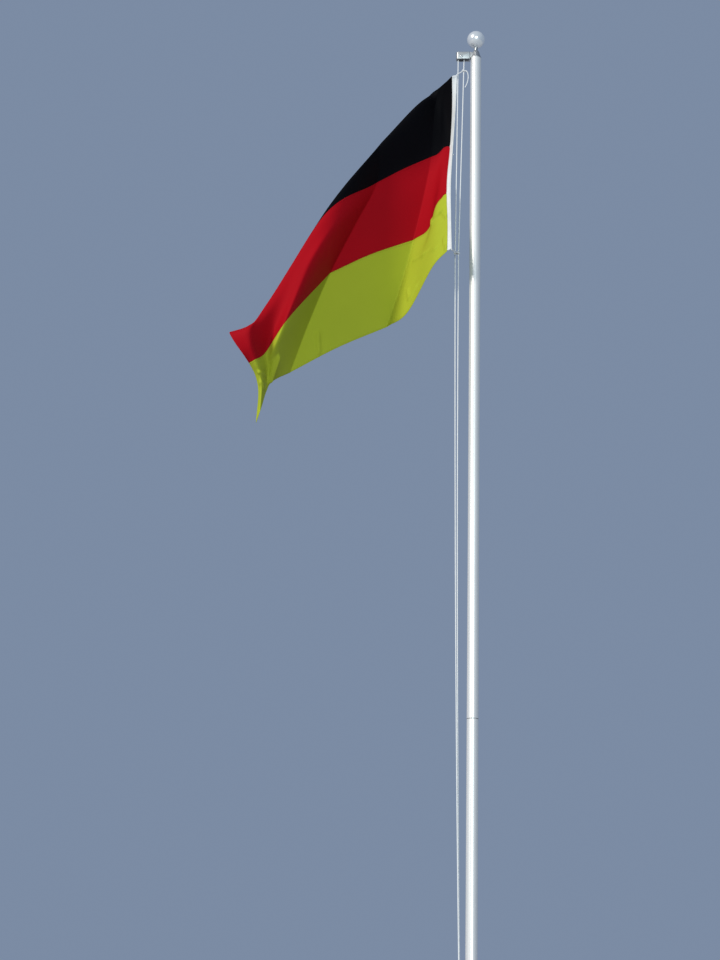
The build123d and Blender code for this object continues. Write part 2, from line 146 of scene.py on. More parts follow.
FOLD_SHARES = (0.0, 0.015, 0.06, 0.12, 0.2, 0.33, 0.48, 0.66, 0.8, 0.92, 1.0)
SHARP_FOLDS = (1, 4, 6)
FOLDS = (
    # Hoist edge
    ((0, 0, hung(0, 0, 0)), (0, 0.08, hung(0.002, -0.016, 0.048)),
     (0, 0.355, hung(0.0115, -0.0535, 0.1995)), (0, 0.51, hung(0.0145, -0.0185, 0.2905)),
     (0, 0.685, hung(0.015, 0.0315, 0.382)), (0, 5 / 6, hung(0.013, 0.0615, 0.477)),
     (0, 1, hung(0.01, 0.0865, 0.5705))),
    # Seam of the heading
    ((0.015, 0, hung(0.0145, 0, 0.0025)), (0.015, 0.08, hung(0.0135, -0.0255, 0.0495)),
     (0.015, 0.355, hung(0.0195, -0.066, 0.2005)), (0.015, 0.51, hung(0.025, -0.0292, 0.2915)),
     (0.015, 0.685, hung(0.0255, 0.0208, 0.383)), (0.015, 5 / 6, hung(0.022, 0.0495, 0.478)),
     (0.015, 1, hung(0.0215, 0.077, 0.5715))),
    # Small pleat beside the heading
    ((0.03, 0, seen(447, 81, 0.012)), (0.032, 0.08, seen(446, 97, 0.06)),
     (0.034, 1 / 3, seen(445.5, 147, 0.124)), (0.045, 0.5, seen(442, 175, 0.057)),
     (0.062, 2 / 3, seen(437, 204, -0.03)), (0.075, 5 / 6, seen(435, 234, -0.076)),
     (0.085, 1, seen(433.5, 265.5, -0.128))),
    # Middle of the hoist panel
    ((0.045, 0, seen(443, 84.5, 0.03)), (0.048, 0.085, seen(441, 100, 0.068)),
     (0.058, 1 / 3, seen(438.5, 153.5, 0.12)), (0.095, 0.5, seen(434, 188, 0.085)),
     (0.15, 2 / 3, seen(429.5, 227.5, 0.033)), (0.2, 5 / 6, seen(419, 262, 0.01)),
     (0.26, 1, seen(409.5, 309.5, -0.005))),
    # Sharp crease from the top corner
    ((0.066, 0, seen(439, 88, 0.04)), (0.07, 0.09, seen(435.5, 104, 0.075)),
     (0.08, 1 / 3, seen(431, 157, 0.117)), (0.145, 0.5, seen(423.5, 198, 0.121)),
     (0.255, 2 / 3, seen(413.5, 240, 0.125)), (0.34, 5 / 6, seen(401.5, 283, 0.126)),
     (0.425, 1, seen(387, 327, 0.13))),
    # Middle of the main panel
    ((0.13, 0, seen(428, 97.5, 0.1)), (0.145, 0.12, seen(419.5, 104.5, 0)),
     (0.168, 1 / 3, seen(404.5, 168.5, 0.052)), (0.26, 0.5, seen(390, 211, 0.047)),
     (0.395, 2 / 3, seen(373, 253.5, 0.044)), (0.485, 5 / 6, seen(357, 299, 0.046)),
     (0.575, 1, seen(340, 346.5, 0.057))),
    # Edge of the shaded band
    ((0.26, 0, seen(399, 136, 0.1)), (0.29, 0.16, seen(380.5, 144, -0.06)),
     (0.264, 1 / 3, seen(377, 182.5, -0.005)), (0.365, 0.5, seen(355, 225, -0.025)),
     (0.53, 2 / 3, seen(330, 273, -0.035)), (0.64, 5 / 6, seen(309, 322, -0.035)),
     (0.74, 1, seen(290, 372.5, -0.02))),
    # Front of the shaded band
    ((0.51, 0, Vector((-0.7, 0.12, 6.05))), (0.53, 0.33, seen(324, 215, -0.262)),
     (0.53, 0.42, seen(320, 236, -0.31)), (0.6, 0.53, seen(309, 264, -0.38)),
     (0.75, 2 / 3, seen(287, 320, -0.435)), (0.79, 5 / 6, seen(279, 352, -0.325)),
     (0.83, 1, seen(272.5, 381.5, -0.19))),
    # Hollow before the fly end
    ((0.8, 0, Vector((-0.95, 0.125, 5.5))), (0.82, 0.455, seen(263, 312.5, -0.44)),
     (0.83, 0.51, seen(262, 322, -0.445)), (0.845, 0.58, seen(262, 337, -0.415)),
     (0.87, 2 / 3, seen(265, 353, -0.345)), (0.89, 5 / 6, seen(267, 371, -0.275)),
     (0.905, 1, seen(266, 392, -0.24))),
    # Curl beside the fly edge
    ((0.92, 0, Vector((-1.03, 0.125, 5.3))), (0.93, 0.49, seen(246.5, 330.5, -0.498)),
     (0.93, 0.54, seen(247, 336.5, -0.495)), (0.93, 0.6, seen(250, 346, -0.478)),
     (0.935, 2 / 3, seen(255, 359.5, -0.435)), (0.945, 5 / 6, seen(261.5, 381, -0.365)),
     (0.955, 1, seen(260.5, 410, -0.34))),
    # Fly edge
    ((1, 0, Vector((-1.1, 0.13, 5.2))), (1, 0.52, seen(232, 338, -0.472)),
     (1, 0.57, seen(236.5, 345, -0.468)), (1, 0.62, seen(243, 354, -0.448)),
     (1, 2 / 3, seen(249, 363, -0.405)), (1, 5 / 6, seen(258, 388, -0.335)),
     (1, 1, seen(256, 423, -0.32))),
)

# Small wrinkles of the cloth: the ends as shares along the folds and down the hoist, height and width
WRINKLES = (
    ((0.078, 0.742), (0.036, 0.745), 0.019, 0.009),
    ((0.036, 0.745), (0.018, 0.8), 0.015, 0.008),
    ((0.1, 0.668), (0.09, 0.71), 0.015, 0.008),
    ((0.165, 0.775), (0.1, 0.838), 0.017, 0.008),
    ((0.1, 0.838), (0.055, 0.92), 0.019, 0.008),
    ((0.028, 0.9), (0.02, 0.985), 0.014, 0.008),
    ((0.15, 0.9), (0.13, 0.95), 0.015, 0.009),
    ((0.13, 0.95), (0.105, 0.94), 0.014, 0.009),
    ((0.09, 0.6), (0.03, 0.66), 0.01, 0.014),
    ((0.4, 0.98), (0.43, 0.9), 0.014, 0.016),
    ((0.72, 0.97), (0.66, 0.86), 0.017, 0.018),
    ((0.92, 0.76), (0.84, 0.84), 0.008, 0.014),
    ((0.94, 0.83), (0.88, 0.9), 0.007, 0.014),
)

# The loose end of the top knot
TAIL_ROUTE = [Vector(point) for point in (
    (-0.0578, -0.0032, 6.9255), (-0.049, -0.005, 6.918), (-0.043, -0.006, 6.9),
    (-0.042, -0.007, 6.875), (-0.046, -0.008, 6.85), (-0.053, -0.008, 6.83), (-0.06, -0.008, 6.815),
)]


# Sizes and colours
def length_setting(name, description, default, least):
    """A length in metres that a user may change."""
    return FloatProperty(name=name, description=description, default=default, min=least, unit="LENGTH")


def colour_setting(name, description, default):
    """A colour that a user may change."""
    return FloatVectorProperty(
        name=name, description=description, default=default, subtype="COLOR", min=0, max=1)


class FlagpoleCloth(bpy.types.PropertyGroup):
    """Sizes and colours of the flag"""

    fly: length_setting("Fly", "Length of the flag from heading to fly end", FLY, 0.1)
    hoist: length_setting("Hoist", "Height of the flag along the halyard", 1.2, 0.1)
    thickness: length_setting("Thickness", "Thickness of the flag's cloth", 0.0016, 0.0001)
    hem: length_setting("Hem", "Width of the turned hem along the edges", 0.012, 0.002)
    bead: length_setting("Heading bead", "Thickness of the rolled edge of the heading", 0.007, 0.0005)
    columns: IntProperty(name="Columns", description="Cloth cells along the fly", default=180, min=20)
    rows: IntProperty(name="Rows", description="Cloth cells down each stripe", default=36, min=6)
    black: colour_setting("Black", "Colour of the top stripe", (0.0018, 0.0016, 0.0028))
    red: colour_setting("Red", "Colour of the middle stripe", (0.36, 0.003, 0.009))
    gold: colour_setting("Gold", "Colour of the bottom stripe", (0.39, 0.44, 0.03))
    heading: colour_setting("Heading", "Colour of the canvas heading", (0.78, 0.79, 0.8))


class FlagpoleRope(bpy.types.PropertyGroup):
    """Sizes and colours of the halyard and the ties"""

    diameter: length_setting("Halyard diameter", "Thickness of the halyard", 2 * ROPE_RADIUS, 0.001)
    tie_diameter: length_setting("Tie diameter", "Thickness of the cord that ties the flag", 0.005, 0.001)
    tail_length: length_setting("Tail length", "Loose length of cord below the top knot", 0.123, 0.03)
    colour: colour_setting("Rope colour", "Colour of the braided rope", (0.88, 0.885, 0.9))


class FlagpoleMetal(bpy.types.PropertyGroup):
    """Colours of the pole and its fittings"""

    tube: colour_setting("Tube", "Colour of the satin pole tube", (0.72, 0.715, 0.715))
    # The spigot's dark colour is painted shade for the gap in the joint of the tubes.
    spigot: colour_setting("Spigot", "Colour of the spigot in the joint of the tubes", (0.09, 0.09, 0.095))
    casting: colour_setting("Castings", "Colour of the cast fittings", (0.42, 0.43, 0.44))
    ball: colour_setting("Ball", "Colour of the polished ball", (0.86, 0.87, 0.88))
    plastic: colour_setting("Plastic", "Colour of the sheave and the sleeve rim", (0.035, 0.036, 0.038))


class FlagpoleView(bpy.types.PropertyGroup):
    """Colours of the stage"""

    floor: colour_setting("Floor", "Colour of the floor", (0.62, 0.63, 0.64))
    surround: colour_setting("Surround", "Colour of the light from all round", (0.2, 0.26, 0.37))


# Modelling helpers
def clear_selection():
    """Leave edit mode with nothing selected."""
    if bpy.context.mode != "OBJECT":
        bpy.ops.object.mode_set(mode="OBJECT")
    bpy.ops.object.select_all(action="DESELECT")


def select_only(piece):
    """Make one piece the selected and active one."""
    clear_selection()
    piece.select_set(True)
    bpy.context.view_layer.objects.active = piece


def apply_modifier(piece, kind, **settings):
    """Add a modifier with its settings and apply it."""
    select_only(piece)
    modifier = piece.modifiers.new(kind.lower(), kind)
    for key, value in settings.items():
        setattr(modifier, key, value)
    bpy.ops.object.modifier_apply(modifier=modifier.name)


def keep_active(name):
    """Name the active object and put its place in its mesh."""
    if bpy.context.mode != "OBJECT":
        bpy.ops.object.mode_set(mode="OBJECT")
    piece = bpy.context.active_object
    piece.name = name
    piece.data.name = name
    bpy.ops.object.transform_apply(location=True, rotation=True, scale=True)
    return piece


def close_shape(name, edge=0.0, smooth=40):
    """Close the open ends of the shape in edit mode, round its edges and smooth it."""
    bpy.ops.mesh.select_all(action="SELECT")
    bpy.ops.mesh.fill_holes(sides=0)
    bpy.ops.mesh.select_all(action="SELECT")
    bpy.ops.mesh.normals_make_consistent(inside=False)
    piece = keep_active(name)
    if edge:
        apply_modifier(
            piece, "BEVEL", width=edge, segments=3, limit_method="ANGLE", angle_limit=math.radians(30))
    select_only(piece)
    bpy.ops.object.shade_smooth_by_angle(angle=math.radians(smooth))
    return piece


def turn_rings(rings, sides, across=0.0):
    """Start a turned shape: rings of (radius, height) about an upright line."""
    clear_selection()
    radius, height = rings[0]
    bpy.ops.mesh.primitive_circle_add(vertices=sides, radius=radius, location=(across, 0, height))
    bpy.ops.object.mode_set(mode="EDIT")
    bpy.ops.mesh.select_all(action="SELECT")
    for wider, higher in rings[1:]:
        bpy.ops.mesh.extrude_edges_move(TRANSFORM_OT_translate={"value": (0, 0, higher - height)})
        grow = wider / radius
        bpy.ops.transform.resize(value=(grow, grow, 1), center_override=(across, 0, higher))
        radius, height = wider, higher


def start_block(low, high):
    """Start a block that fills a box, in edit mode."""
    clear_selection()
    size = Vector(high) - Vector(low)
    bpy.ops.mesh.primitive_cube_add(size=1, location=(Vector(low) + Vector(high)) / 2, scale=size)
    bpy.ops.object.transform_apply(location=True, rotation=True, scale=True)
    bpy.ops.object.mode_set(mode="EDIT")
    return bpy.context.active_object


def pick(piece, kind, test):
    """Select the faces or edges of a piece in edit mode whose middle and normal pass a test."""
    bpy.ops.mesh.select_all(action="DESELECT")
    bpy.ops.mesh.select_mode(type=kind)
    bpy.ops.object.mode_set(mode="OBJECT")
    if kind == "FACE":
        for face in piece.data.polygons:
            face.select = test(face.center, face.normal)
    else:
        points = piece.data.vertices
        for edge in piece.data.edges:
            start, end = (points[index].co for index in edge.vertices)
            edge.select = test((start + end) / 2, (end - start).normalized())
    bpy.ops.object.mode_set(mode="EDIT")


def set_out(piece, moves):
    """Set a piece and its copies, each with its own mesh, in their places."""
    pieces = [piece]
    for _ in moves[1:]:
        twin = piece.copy()
        twin.data = piece.data.copy()
        bpy.context.scene.collection.objects.link(twin)
        pieces.append(twin)
    for placed, move in zip(pieces, moves):
        placed.data.transform(move)
    return pieces


def join_pieces(first, *others):
    """Join pieces into the first one."""
    select_only(first)
    for piece in others:
        piece.select_set(True)
    bpy.ops.object.join()
    return first


def dress(piece, material, body, slot, *nodes):
    """Give a finished piece its material and body, and hide the nodes it stands for; the slot is not used.
    """
    piece.data.materials.clear()
    piece.data.materials.append(material)
    if body:
        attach(piece, body)
    if nodes:
        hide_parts(*nodes)


def coat_nodes(material, *names):
    """Give CAD nodes a material in place of their plain one."""
    for name in names:
        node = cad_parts[name]
        node.data.materials.clear()
        node.data.materials.append(material)


# Material helpers
class Finish:
    """A material's node tree with short ways to add and join nodes."""

    def __init__(self, name, colour, roughness, metallic=0.0):
        self.material = bpy.data.materials.new(name)
        self.material.use_nodes = True
        self.tree = self.material.node_tree
        self.shader = self.tree.nodes["Principled BSDF"]
        self.coat((*colour, 1), roughness, Metallic=metallic)

    def plug(self, socket, value):
        """Give a socket its value, or join it to another socket."""
        if isinstance(value, bpy.types.NodeSocket):
            self.tree.links.new(value, socket)
        else:
            socket.default_value = value

    def set(self, node, **values):
        """Give a node's sockets their values by name."""
        for name, value in values.items():
            self.plug(node.inputs[name], value)

    def coat(self, colour, roughness, **values):
        """Give the shader its colour, its roughness and other values by name."""
        self.set(self.shader, **{"Base Color": colour, "Roughness": roughness}, **values)

    def add(self, kind, settings=None, **values):
        """Add a node with its settings and sockets."""
        node = self.tree.nodes.new("ShaderNode" + kind)
        for name, value in (settings or {}).items():
            setattr(node, name, value)
        self.set(node, **values)
        return node

    def math(self, operation, first, second=0.0, third=0.0):
        """Add one step of arithmetic and give its result."""
        node = self.add("Math", {"operation": operation})
        for socket, value in zip(node.inputs, (first, second, third)):
            self.plug(socket, value)
        return node.outputs[0]

    def times(self, first, second):
        """Multiply two values."""
        return self.math("MULTIPLY", first, second)

    def scale(self, value, low, high):
        """Spread a value from 0 to 1 over low to high."""
        return self.add("MapRange", None, **{"Value": value, "To Min": low, "To Max": high}).outputs[0]

    def mix(self, share, first, second):
        """Mix two colours."""
        node = self.add("Mix", {"data_type": "RGBA"})
        for index, value in ((0, share), (6, first), (7, second)):
            self.plug(node.inputs[index], value)
        return node.outputs[2]

    def dashes(self, run, rate, share):
        """Give 1 on the stitches along a run and 0 between them."""
        return self.math("LESS_THAN", self.math("FRACT", self.times(run, rate)), share)

    def place(self, turn=(0, 0, 0), size=(1, 1, 1), uv=False):
        """Give the coordinates on the object, or on its own UV map."""
        coordinates = self.add("TexCoord").outputs["UV" if uv else "Object"]
        mapping = self.add("Mapping", None, Vector=coordinates, Rotation=turn, Scale=size)
        return mapping.outputs[0]

    def noise(self, vector, scale, detail=3.0):
        """Add a noise and give its value."""
        return self.add("TexNoise", None, Vector=vector, Scale=scale, Detail=detail).outputs["Fac"]

    def cells(self, vector, scale):
        """Add a regular lattice and give the distance from its centres."""
        lattice = self.add("TexVoronoi", None, Vector=vector, Scale=scale, Randomness=0.0)
        return lattice.outputs["Distance"]

    def bump(self, height, strength, distance):
        """Raise the surface by a height."""
        node = self.add("Bump", None, Height=height, Strength=strength, Distance=distance)
        self.set(self.shader, Normal=node.outputs[0])

    def speckle(self, patches, tints, grain, roughness, relief):
        """Lay patches of two tints, and a grain that stands up and is rough by turns."""
        patch = self.noise(self.place(), *patches)
        skin = self.noise(self.place(), *grain)
        self.coat(self.mix(patch, *tints), self.scale(skin, *roughness))
        self.bump(skin, *relief)
        return self.material

    def streak(self, streaks, marks, tints, streak_rough, mark_rough, relief):
        """Draw fine streaks that stand up and marks of two tints, each with its share of roughness."""
        rough = self.math("ADD", self.scale(streaks, *streak_rough), self.scale(marks, *mark_rough))
        self.coat(self.mix(marks, *tints), rough)
        self.bump(streaks, *relief)
        return self.material


def shade(colour, share):
    """A colour made darker or lighter, with its alpha."""
    return (*(min(1.0, part * share) for part in colour), 1)


def satin_tube(colour):
    """Drawn and anodised tube with fine lines along it and faint weather marks."""
    finish = Finish("satin_tube", colour, 0.5, 0.35)
    lines = finish.noise(finish.place(size=(900, 900, 4)), 1.0, 2.0)
    weather = finish.noise(finish.place(size=(9, 9, 1.4)), 1.0, 4.0)
    tints = shade(colour, 0.93), shade(colour, 1.04)
    return finish.streak(lines, weather, tints, (0.26, 0.42), (0.0, 0.08), (0.12, 0.0004))


def mill_spigot_painted_shade(colour):
    """Dull mill finish, painted dark where it shows in the joint, as shade in the gap between the tubes."""
    tints = shade(colour, 0.8), shade(colour, 1.3)
    finish = Finish("mill_spigot_painted_shade", colour, 0.6, 0.4)
    return finish.speckle((120.0, 3.0), tints, (120.0, 3.0), (0.5, 0.7), (0.1, 0.0003))


def sand_cast(colour):
    """Sand cast metal with a pebbled skin and dull patches."""
    tints = shade(colour, 0.8), shade(colour, 1.12)
    finish = Finish("sand_cast", colour, 0.5, 1.0)
    return finish.speckle((38.0, 3.0), tints, (420.0, 4.0), (0.34, 0.62), (0.35, 0.0006))


def bright_ball(colour):
    """Bright polished metal with a breath of dust and fine wiping marks."""
    finish = Finish("bright_ball", colour, 0.25, 0.55)
    dust = finish.noise(finish.place(), 26.0, 5.0)
    wiping = finish.noise(finish.place(size=(60, 60, 700)), 1.0, 2.0)
    tints = shade(colour, 0.92), shade(colour, 1.03)
    return finish.streak(wiping, dust, tints, (0.0, 0.06), (0.14, 0.26), (0.03, 0.0002))


def plated_pin():
    """Zinc plated steel with a slight bloom."""
    tints = (0.42, 0.43, 0.46, 1), (0.66, 0.66, 0.65, 1)
    finish = Finish("plated_pin", (0.55, 0.56, 0.58), 0.3, 1.0)
    return finish.speckle((160.0, 4.0), tints, (160.0, 4.0), (0.22, 0.42), (0.1, 0.0003))


def moulded_plastic(name, colour, grain):
    """Moulded plastic with a fine grain and patches of dust."""
    tints = shade(colour, 0.8), shade(colour, 1.7)
    finish = Finish(name, colour, 0.5)
    return finish.speckle((14.0, 4.0), tints, (grain, 3.0), (0.38, 0.6), (0.2, 0.0004))


def braided_rope(name, colour, around, along):
    """Braided rope: a lattice of plump strands that runs round and along it, with painted shade in the
    grooves between the strands.
    """
    finish = Finish(name, colour, 0.75)
    lattice = finish.place(turn=(0, 0, math.radians(45)), size=(around, along, 1), uv=True)
    strands = finish.cells(lattice, 1.0)
    wear = finish.noise(finish.place(), 45.0, 4.0)
    plump = finish.scale(strands, 1.0, 0.0)
    worn = finish.mix(wear, shade(colour, 0.84), shade(colour, 1.05))
    # The grooves between the strands are painted darker: painted shade.
    braid_with_painted_shade = finish.mix(plump, shade(colour, 0.55), worn)
    finish.coat(braid_with_painted_shade, finish.scale(wear, 0.65, 0.85), **{"Sheen Weight": 0.25})
    finish.bump(plump, 0.6, 0.0008)
    return finish.material


def bunting(name, colour, settings):
    """Woven flag cloth with stitched hems and seams, slight fading and puckers."""
    finish = Finish(name, colour, 0.7)
    cloth = finish.place(uv=True)
    across = finish.add("SeparateXYZ", None, Vector=cloth)
    along, down = across.outputs["X"], across.outputs["Y"]
    threads = finish.cells(cloth, 1100.0)
    fading = finish.noise(cloth, 2.2, 4.0)
    slubs = finish.noise(finish.place(size=(30, 900, 1), uv=True), 1.0, 2.0)
    puckers = finish.noise(finish.place(size=(85, 14, 1), uv=True), 1.0, 2.0)
    # Two rows of stitches beside each edge of a stripe, and two at the fly
    seam = finish.math("PINGPONG", down, settings.hoist / 6)
    fly = finish.math("SUBTRACT", settings.fly, along)
    stitch_width = 0.0006
    stitch_rate = 280.0
    stitch_share = 0.62
    rows = []
    for edge, run, insets in ((seam, along, (0.003, 0.009)), (fly, down, (0.004, 0.02))):
        dash = finish.dashes(run, stitch_rate, stitch_share)
        for inset in insets:
            line = finish.math("COMPARE", edge, inset, stitch_width)
            rows.append(finish.times(line, dash))
    stitches = rows[0]
    for row in rows[1:]:
        stitches = finish.math("MAXIMUM", stitches, row)
    near_seam = finish.math("SUBTRACT", 1.0, finish.times(seam, 18.0))
    pucker = finish.times(puckers, finish.math("MAXIMUM", near_seam, 0.05))
    faded = finish.mix(fading, shade(colour, 0.86), shade(colour, 1.1))
    slubbed = finish.mix(finish.times(slubs, 0.25), faded, shade(colour, 0.6))
    height = finish.math("ADD", finish.times(threads, 0.06), pucker)
    raised = finish.math("ADD", height, finish.times(stitches, 0.3))
    sewn = finish.mix(finish.times(stitches, 0.5), slubbed, shade(colour, 0.35))
    finish.coat(sewn, finish.scale(fading, 0.62, 0.78), **{"Specular IOR Level": 0.05})
    finish.bump(raised, 0.5, 0.0025)
    return finish.material


def heading_canvas(colour):
    """Stout white canvas tape with a ribbed weave and two rows of stitches."""
    finish = Finish("heading_tape", colour, 0.8)
    cloth = finish.place(uv=True)
    across = finish.add("SeparateXYZ", None, Vector=cloth)
    along, down = across.outputs["X"], across.outputs["Y"]
    ribs = finish.math("SINE", finish.times(down, 2600.0))
    grime = finish.noise(cloth, 20.0, 4.0)
    stitch_width = 0.0007
    near, far = (finish.math("COMPARE", along, inset, stitch_width) for inset in (0.004, 0.026))
    stitches = finish.times(finish.math("MAXIMUM", near, far), finish.dashes(down, 260.0, 0.6))
    soiled = finish.mix(grime, shade(colour, 0.8), shade(colour, 1.06))
    height = finish.math("ADD", finish.times(ribs, 0.15), stitches)
    sewn = finish.mix(finish.times(stitches, 0.6), soiled, shade(colour, 0.5))
    finish.coat(sewn, finish.scale(grime, 0.7, 0.9))
    finish.bump(height, 0.4, 0.0008)
    return finish.material


# Rope helpers
def route_curve(name, points, radius, sides, steps):
    """Make a smooth curve with the route's points as its control points."""
    data = bpy.data.curves.new(name, "CURVE")
    data.dimensions = "3D"
    spline = data.splines.new("NURBS")
    spline.points.add(len(points) - 1)
    for control, point in zip(spline.points, points):
        control.co = (*point, 1)
    spline.order_u = 3
    spline.use_endpoint_u = True
    spline.resolution_u = steps
    data.bevel_depth = radius
    data.bevel_resolution = sides
    data.use_fill_caps = True
    piece = bpy.data.objects.new(name, data)
    bpy.context.scene.collection.objects.link(piece)
    return piece


def rope_mesh(name, points, radius, sides=4, steps=6):
    """Make a length of rope as a mesh whose UV map runs round and along it."""
    piece = route_curve(name, points, radius, sides, steps)
    select_only(piece)
    bpy.ops.object.convert(target="MESH")
    piece = bpy.context.active_object
    piece.name = name
    wrap_rope_map(piece, 2 * (sides + 2))
    bpy.ops.object.shade_smooth()
    return piece


def wrap_rope_map(piece, around):
    """Lay the UV map once round the rope and in metres along it."""
    mesh = piece.data
    rings = [v.co for v in mesh.vertices]
    travelled = [0.0]
    for start in range(around, len(rings), around):
        here = sum(rings[start:start + around], Vector()) / around
        before = sum(rings[start - around:start], Vector()) / around
        travelled.append(travelled[-1] + (here - before).length)
    layer = mesh.uv_layers[0] if mesh.uv_layers else mesh.uv_layers.new(name="UVMap")
    for face in mesh.polygons:
        corners = [(mesh.loops[index].vertex_index, index) for index in face.loop_indices]
        turns = [vertex % around for vertex, _ in corners]
        crosses = max(turns) - min(turns) > around / 2
        for (vertex, index), turn in zip(corners, turns):
            share = (turn + around if crosses and turn < around / 2 else turn) / around
            layer.data[index].uv = (share, travelled[min(vertex // around, len(travelled) - 1)])


def on_line(start, end, share):
    """Point at a share of the way from start to end."""
    return Vector(start) + (Vector(end) - Vector(start)) * share


def straight_run(start, end, count):
    """Points along a taut length, from start to end."""
    return [on_line(start, end, step / count) for step in range(count + 1)]


def winding(centre, reach, spread, turns, foot, head):
    """Points of a cord wound up round one strand, or round two that lie spread apart."""
    turn = []
    for side in (1, -1):
        for degrees in range(-90, 91, 30):
            angle = math.radians(degrees)
            across = spread / 2 + reach * math.cos(angle)
            turn.append((side * across, side * reach * math.sin(angle)))
    count = turns * len(turn)
    points = []
    for index in range(count + 1):
        across, ahead = turn[index % len(turn)]
        points.append((centre[0] + across, centre[1] + ahead, foot + (head - foot) * index / count))
    return points


# Cloth helpers
def through(shares, values, share, sharp=()):
    """Follow a smooth curve through values at their shares, with sharp corners."""
    last = len(shares) - 1
    slopes = [(values[i + 1] - values[i]) / (shares[i + 1] - shares[i]) for i in range(last)]
    start = max(i for i in range(last) if shares[i] <= share or i == 0)

    def slope(at, after):
        if at == 0 or at == last:
            return slopes[min(at, last - 1)]
        if at in sharp:
            return slopes[at if after else at - 1]
        before, behind = shares[at] - shares[at - 1], shares[at + 1] - shares[at]
        return (slopes[at - 1] * behind + slopes[at] * before) / (before + behind)

    width = shares[start + 1] - shares[start]
    t = (share - shares[start]) / width
    return (
        values[start] * (2 * t**3 - 3 * t**2 + 1)
        + slope(start, True) * (width * (t**3 - 2 * t**2 + t))
        + values[start + 1] * (3 * t**2 - 2 * t**3)
        + slope(start + 1, False) * (width * (t**3 - t**2))
    )


def fold_column(fold_share):
    """Falls down one fold line, and the place and reach at each of them."""
    falls, spots = [], []
    every_fold = range(len(FOLDS))
    for row in zip(*FOLDS):
        falls.append(through(FOLD_SHARES, [fall for _, fall, _ in row], fold_share, every_fold))
        hangs = [Vector((*(HOIST_HEAD - place) / FLY, reach)) for reach, _, place in row]
        spots.append(through(FOLD_SHARES, hangs, fold_share, SHARP_FOLDS))
    return falls, spots


def hang_point(fold_share, down_share, fly):
    """Place of one point of the cloth."""
    return HOIST_HEAD - through(*fold_column(fold_share), down_share).xyz * fly


def cloth_lines(settings):
    """Shares of the fold lines across the flag and of the threads down it."""
    hem_share = settings.hem / settings.fly * 1.6
    heading_share = FOLD_SHARES[1]
    across = [heading_share * step / 4 for step in range(4)]
    for start, end in zip(FOLD_SHARES[1:], FOLD_SHARES[2:]):
        cells = max(3, round((end - start) * settings.columns))
        across += [start + (end - start) * step / cells for step in range(cells)]
    across = [share for share in across if share < 1 - hem_share * 1.2]
    across += [1 - hem_share, 1 - hem_share / 2, 1.0]
    hem = settings.hem / settings.hoist
    down = []
    for stripe in range(3):
        top, foot = stripe / 3, (stripe + 1) / 3
        width = foot - top - 2 * hem
        down += [top, top + hem / 2]
        down += [top + hem + width * row / settings.rows for row in range(settings.rows + 1)]
        down.append(foot - hem / 2)
    return across, down + [1.0]


def wrinkle_runs(fly):
    """Where each small wrinkle starts, how it runs, and its height and width."""
    runs = []
    for start, end, height, width in WRINKLES:
        start, end = (hang_point(*spot, fly) for spot in (start, end))
        runs.append((start, end - start, height, width))
    return runs


def wrinkle_lift(place, runs):
    """How far the small wrinkles lift a point of the cloth."""
    lift = 0.0
    for start, run, height, width in runs:
        share = max(0.0, min(1.0, (place - start).dot(run) / run.length_squared))
        gap = (place - start - run * share).length / width
        if gap < 3:
            lift += height * (1 - gap * gap) * math.exp(-gap * gap)
    return lift


def weave_flag(settings):
    """Make the flag as one grid that hangs in its folds, with its flat cut as UVs."""
    across, down = cloth_lines(settings)
    clear_selection()
    bpy.ops.mesh.primitive_grid_add(
        x_subdivisions=len(across) - 1, y_subdivisions=len(down) - 1, size=2)
    flag = bpy.context.active_object
    flag.name = "flag"
    hems = flag.vertex_groups.new(name="hems")
    cuts = {}
    for column, fold_share in enumerate(across):
        falls, spots = fold_column(fold_share)
        for row, down_share in enumerate(down):
            spot = through(falls, spots, down_share)
            index = row * len(across) + column
            flag.data.vertices[index].co = HOIST_HEAD - spot.xyz * settings.fly
            cuts[index] = (spot.w * settings.fly, down_share * settings.hoist)
            nearest = min(abs(3 * down_share - edge) for edge in range(4)) * settings.hoist / 3
            hemmed = nearest < settings.hem * 0.9 or fold_share > 1 - settings.hem / settings.fly
            hems.add([index], 1.0 if hemmed or fold_share == 0 else SINGLE_CLOTH, "REPLACE")
    layer = flag.data.uv_layers[0]
    for loop in flag.data.loops:
        layer.data[loop.index].uv = cuts[loop.vertex_index]
    mark_stripes(flag, cuts, settings)
    lift_wrinkles(flag, cuts, settings)
    return flag


def mark_stripes(flag, cuts, settings):
    """Number the faces of the heading 0 and those of the stripes 1 to 3, from the top."""
    for face in flag.data.polygons:
        cut = [cuts[index] for index in face.vertices]
        along, fall = (sum(values) / len(cut) for values in zip(*cut))
        in_heading = along < FOLD_SHARES[1] * settings.fly
        face.material_index = 0 if in_heading else 1 + min(2, int(3 * fall / settings.hoist))


def lift_wrinkles(flag, cuts, settings):
    """Lift the small wrinkles off the stripes."""
    flag.data.update()
    normals = [vertex.normal.copy() for vertex in flag.data.vertices]
    runs = wrinkle_runs(settings.fly)
    for vertex, normal in zip(flag.data.vertices, normals):
        if cuts[vertex.index][0] > FOLD_SHARES[1] * settings.fly * 1.01:
            facing = -1 if normal.y > 0 else 1
            vertex.co += normal * (facing * wrinkle_lift(vertex.co, runs))


